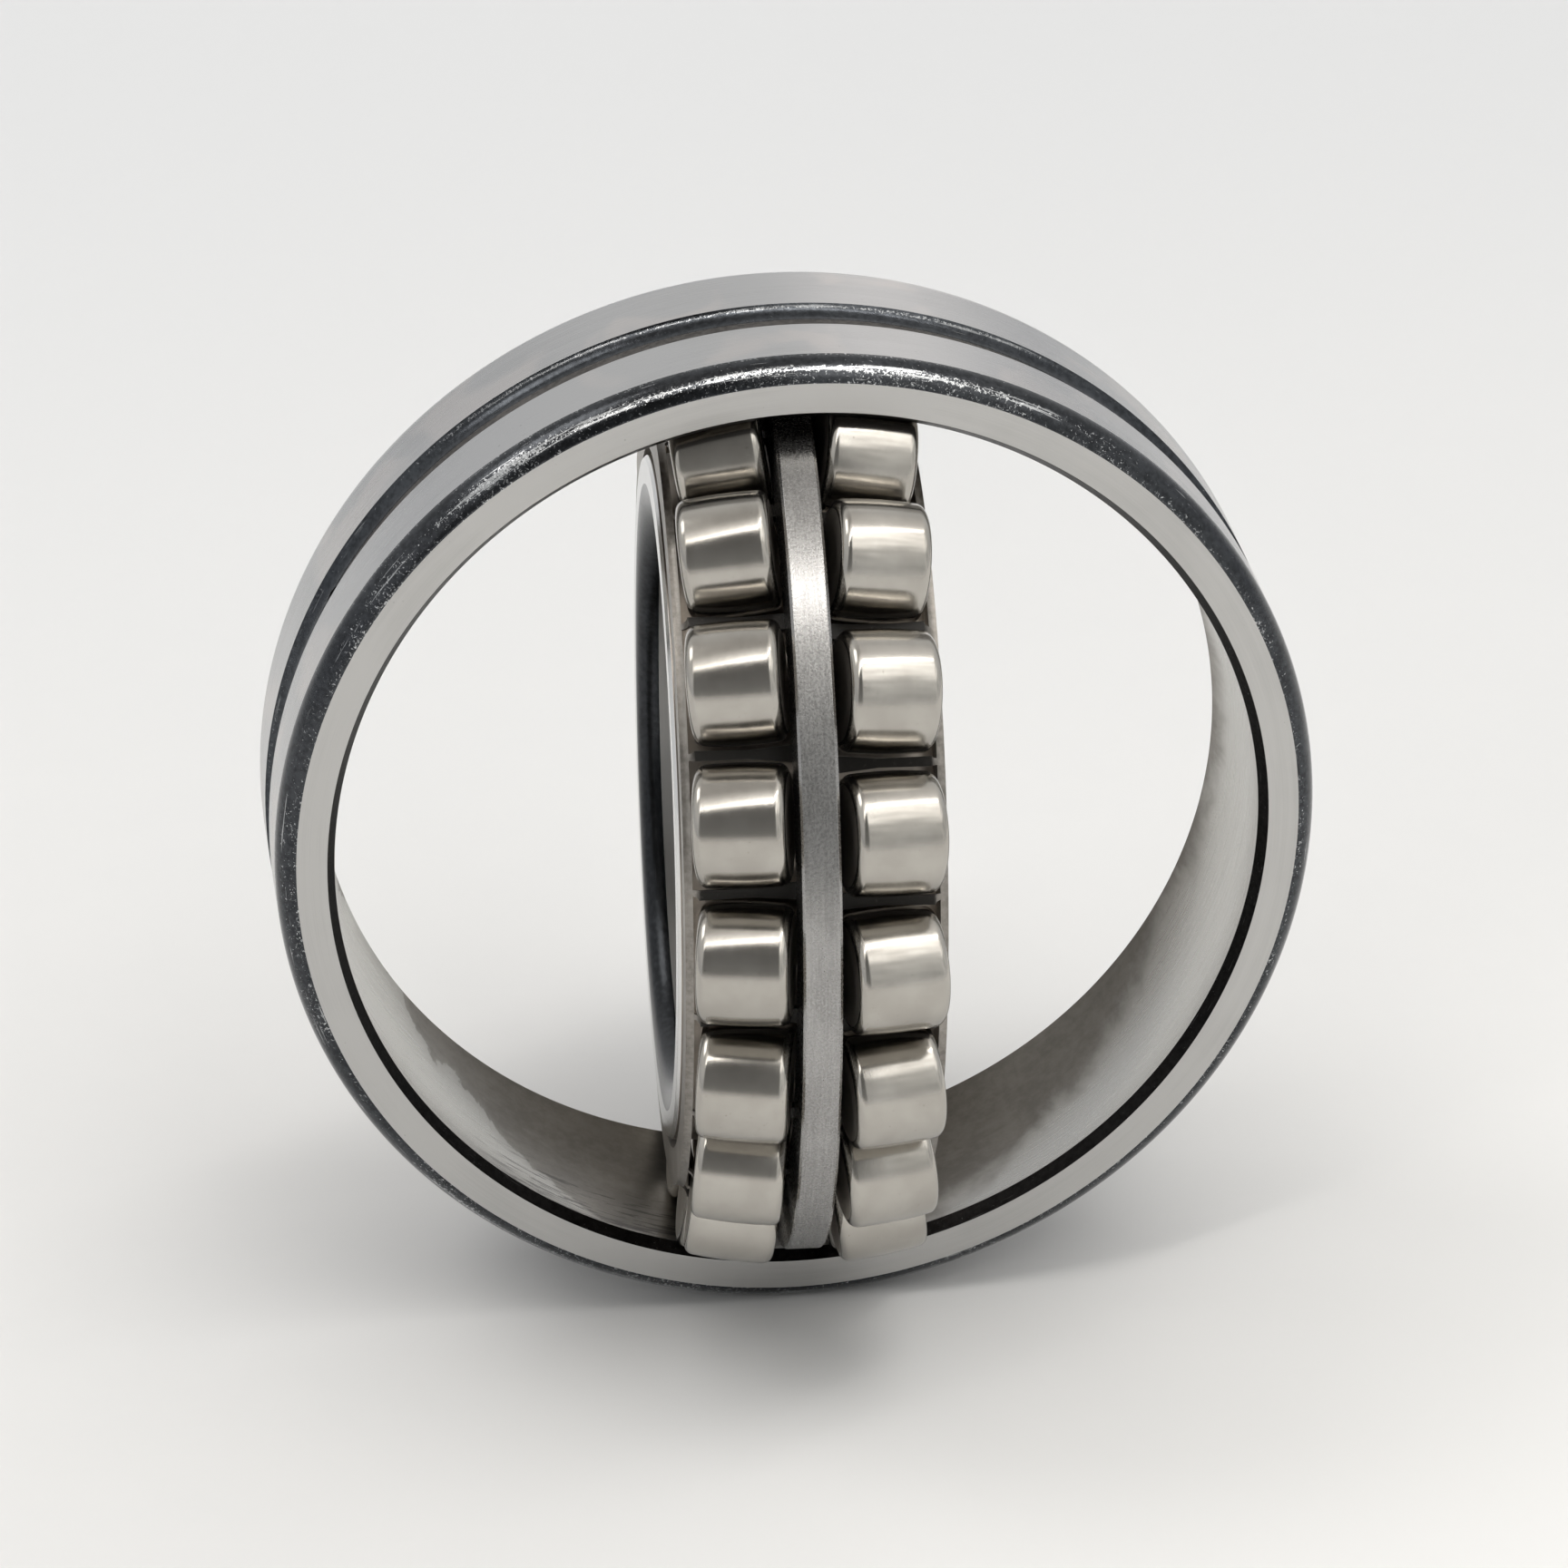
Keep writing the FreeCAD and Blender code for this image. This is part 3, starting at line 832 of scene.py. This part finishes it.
def guide_ring_runs():
    lean = (GUIDE_HALF - GUIDE_BORE_HALF) / (GUIDE_RADIUS - GUIDE_BORE)
    shoulder = (GUIDE_RADIUS, GUIDE_HALF - GUIDE_EDGE)
    side_start = (GUIDE_RADIUS - GUIDE_EDGE, GUIDE_HALF - GUIDE_EDGE * lean)
    bore_edge = (GUIDE_BORE, GUIDE_BORE_HALF)
    half = [
        ("guide", straight((GUIDE_RADIUS, 0), shoulder)),
        ("guide", straight(shoulder, side_start)),
        ("guide", straight(side_start, bore_edge)),
        ("guide", straight(bore_edge, (GUIDE_BORE, 0))),
    ]
    return half + mirrored(half)


for node, runs, body, slot in (
    ("inner_ring", inner_ring_runs(), "inner", "inner_ring_steel"),
    ("guide_ring", guide_ring_runs(), "guide", "guide_ring_iron"),
):
    ring = Turned(runs, RING_STEPS)
    ring.sweep()
    name = node + "_turned"
    placed(name, ring.mesh(name), INNER_SET, body, node)


# ---- rollers ----

ROLLER_STEPS = 72
BARREL_POINTS = 13
DIMPLE_RADIUS, DIMPLE_DEPTH, DIMPLE_SLOPE = 4.2, 0.25, 0.8


def barrel(height):
    """The roller's radius at a height, on its crowned side."""
    return ROLLER_RADIUS - BARREL_RADIUS + math.sqrt(BARREL_RADIUS**2 - height**2)


def roller_runs():
    shoulder = ROLLER_HALF - ROLLER_CORNER
    corner = (barrel(shoulder), shoulder)
    rim = (barrel(shoulder) - ROLLER_CORNER, ROLLER_HALF)
    dimple_edge = (DIMPLE_RADIUS + DIMPLE_SLOPE, ROLLER_HALF)
    dimple_foot = (DIMPLE_RADIUS, ROLLER_HALF - DIMPLE_DEPTH)
    dimple_centre = (0.0, ROLLER_HALF - DIMPLE_DEPTH)
    side = [(barrel(a), a) for a in np.linspace(-shoulder, shoulder, BARREL_POINTS)]
    end = [
        ("roller", curve(corner, rim, ROLLER_CORNER, LEFT, steps=9)),
        ("roller_end", straight(rim, dimple_edge)),
        ("roller_end", straight(dimple_edge, dimple_foot)),
        ("roller_end", straight(dimple_foot, dimple_centre, steps=3)),
    ]
    return mirrored(end) + [("roller", side)] + end


roller = Turned(roller_runs(), ROLLER_STEPS, closed=False)
roller.sweep()
roller_mesh = roller.mesh("roller_turned")
for row in ("left", "right"):
    for number in range(ROLLERS):
        steps = number * 360.0 / ROLLERS
        angle = 180 - ROW_PHASE["left"] + steps if row == "left" else ROW_PHASE["right"] - steps
        matrix = (
            INNER_SET
            @ Matrix.Rotation(0.0 if row == "left" else math.pi, 4, "Z")
            @ Matrix.Rotation(math.radians(-angle), 4, "Y")
            @ Matrix.Rotation(CONTACT_ANGLE, 4, "Z")
            @ Matrix.Translation((ROLLER_DISTANCE * MM, 0, 0))
        )
        node = f"roller_{row}_{number + 1:02d}"
        placed(node + "_turned", roller_mesh, matrix, node, node)


# ---- cages keep the CAD's sheet ----

cage_finish = cage_steel("cage_phosphated")
for row in ("left", "right"):
    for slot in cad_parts["cage_" + row].material_slots:
        slot.material = cage_finish


# ---- floor, light and camera, in metres ----

FLOOR_HALF = 4.0
FLOOR_GAP = 0.00002
CAMERA_PLACE = (-0.12714, -0.90630, 0.45811)
CAMERA_TILT, CAMERA_TURN = math.radians(63.482), math.radians(-7.986)
CAMERA_LENS, CAMERA_SENSOR = 151.73, 36.0
CAMERA_NEAR, CAMERA_FAR = 0.01, 60.0

floor_mesh = bpy.data.meshes.new("floor")
level = cad_box[0].z - FLOOR_GAP
corners = ((-1, -1), (1, -1), (1, 1), (-1, 1))
floor_mesh.from_pydata([(x * FLOOR_HALF, y * FLOOR_HALF, level) for x, y in corners],
                       [], [(0, 1, 2, 3)])
floor_mesh.materials.append(paper())
floor = bpy.data.objects.new("floor", floor_mesh)
scene.collection.objects.link(floor)


def studio_world():
    """A pale tent: a slanted soft box above, a bright side on the right, a dark room in front."""
    world = bpy.data.worlds.new("studio")
    scene.world = world
    world.use_nodes = True
    g = Graph(world.node_tree)
    # azimuth is 0 in front and 90 on the right; both angles are in degrees
    x, y, z = g.parts(g.add("TexCoord", out="Generated"))
    azimuth = g.times(g.math("ARCTAN2", x, g.times(y, -1.0)), math.degrees(1.0))
    elevation = g.times(g.math("ARCSINE", z), math.degrees(1.0))
    # places on a flat ceiling, as distances to the right and to the back over its height
    up = g.math("MAXIMUM", z, 0.05)
    across, back = g.math("DIVIDE", x, up), g.math("DIVIDE", y, up)

    def wall(rise, fall, top):
        """A stretch of wall, by its edges in azimuth and its top in elevation, each (from, to)."""
        return g.times(g.between(azimuth, rise, fall), g.span(elevation, *top))

    # walls and ceiling
    light = g.mix(g.span(elevation, 8.0, 30.0), (0.66, 0.665, 0.675), (0.80, 0.80, 0.79))
    light = g.mix(g.span(elevation, 35.0, 80.0), light, (0.55, 0.53, 0.505))

    # a paler stretch of wall behind
    behind = wall((156.0, 161.0), (172.0, 166.0), (60.0, 30.0))
    light = g.mix(behind, light, (1.12, 1.09, 1.07))

    # the bright side, front right: cloudy, and brighter towards the top
    right = wall((3.0, 14.0), (100.0, 70.0), (84.0, 72.0))
    wisps = g.vector(g.times(x, 9.0), g.times(y, 9.0), g.times(z, 2.5))
    wisps = g.span(g.noise(wisps, 1.0, 3.0, 0.5), 0.38, 0.62)
    low = g.mix(wisps, (0.57, 0.57, 0.56), (0.97, 0.97, 0.94))
    high = g.mix(wisps, (1.05, 1.04, 1.0), (3.0, 2.94, 2.84))
    light = g.mix(right, light, g.mix(g.span(elevation, 25.0, 62.0), low, high))

    # the dark room, front left, over a bright paper edge
    dark = wall((-48.0, -36.0), (9.0, 2.0), (66.0, 60.0))
    higher = g.span(elevation, 8.0, 60.0, smooth=False)
    room = g.mix(higher, (0.29, 0.29, 0.285), (0.13, 0.13, 0.127))
    room = g.mix(g.span(elevation, 5.5, 3.5), room, (0.74, 0.725, 0.70))
    light = g.mix(dark, light, room)

    # the paler ceiling on the right
    pale = g.times(g.between(across, (0.14, 0.30), (1.1, 0.8)),
                   g.between(back, (-0.2, 0.0), (0.8, 0.4)))
    light = g.mix(pale, light, (0.95, 0.93, 0.90))

    # the soft box above, a little in front, with a lamp tube along its front edge
    slant = g.times(g.plus(across, 0.22), 0.55)
    inward = g.minus(back, slant)
    reach = g.times(g.span(across, -0.70, -0.56), g.span(inward, -0.43, -0.40))
    box = g.times(reach, g.span(across, 0.7, 0.5), g.span(inward, 0.06, -0.37))
    glow = g.mix(g.span(across, 0.1, 0.3), (1.9, 1.86, 1.79), (1.35, 1.32, 1.27))
    light = g.mix(box, light, glow)
    tube = g.times(reach, g.span(across, 0.70, 0.40), g.span(inward, -0.33, -0.38))
    lamp = g.mix(g.span(across, -0.42, 0.0), (8.0, 7.75, 7.4), (14.0, 13.6, 13.1))
    light = g.mix(tube, light, lamp)

    background = world.node_tree.nodes["Background"]
    g.feed(background.inputs["Color"], light)
    background.inputs["Strength"].default_value = 1.0


def area_light(name, place, target, size, energy, colour):
    """A soft square lamp aimed at a point."""
    lamp = bpy.data.lights.new(name, "AREA")
    lamp.size, lamp.energy, lamp.color = size, energy, colour
    holder = bpy.data.objects.new(name, lamp)
    holder.location = place
    holder.rotation_euler = (Vector(place) - Vector(target)).to_track_quat("Z", "Y").to_euler()
    scene.collection.objects.link(holder)


studio_world()
area_light("key_left", place=(-2.0, 0.7, 3.0), target=(0.0, 0.0, 0.0), size=1.5, energy=20.0,
           colour=(1.0, 0.98, 0.95))

camera = bpy.data.cameras.new("camera")
camera.lens, camera.sensor_width = CAMERA_LENS, CAMERA_SENSOR
camera.clip_start, camera.clip_end = CAMERA_NEAR, CAMERA_FAR
holder = bpy.data.objects.new("camera", camera)
holder.location = CAMERA_PLACE
holder.rotation_euler = (CAMERA_TILT, 0.0, CAMERA_TURN)
scene.collection.objects.link(holder)
scene.camera = holder
scene.view_settings.view_transform = "Standard"
